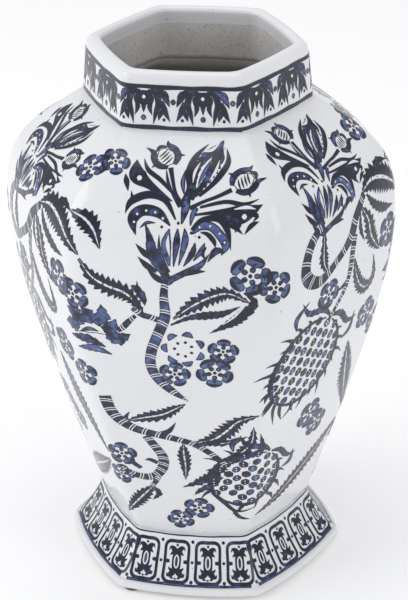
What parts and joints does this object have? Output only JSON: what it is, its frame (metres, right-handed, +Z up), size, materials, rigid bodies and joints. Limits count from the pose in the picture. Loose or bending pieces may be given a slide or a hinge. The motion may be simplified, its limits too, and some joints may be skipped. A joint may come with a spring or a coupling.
{
  "type": "vase",
  "caption": "Hexagonal baluster pottery vase with a straight six-sided collar, wide shoulder, flared foot and recessed floor, standing on felt pads.",
  "frame": {"origin": "on the table under the vase's axis, at the middle of the three pads' undersides", "axes": "+Z up along the vase's axis, -Y out of the front face, +X towards the right corner"},
  "size_m": [0.2108, 0.1944, 0.305],
  "materials": {
    "glazed_clay": "clear glossy glaze over white clay, printed in dark blue under the glaze",
    "bare_clay": "unglazed fired clay, matt and a little sandy",
    "pad_felt": "black pressed felt"
  },
  "bodies": {
    "root": {"vase_body": "glazed_clay", "neck_collar": "glazed_clay", "foot_skirt": "glazed_clay", "base_floor": "bare_clay", "foot_pad_front_left": "pad_felt", "foot_pad_right": "pad_felt", "foot_pad_back_left": "pad_felt"}
  },
  "joints": []
}
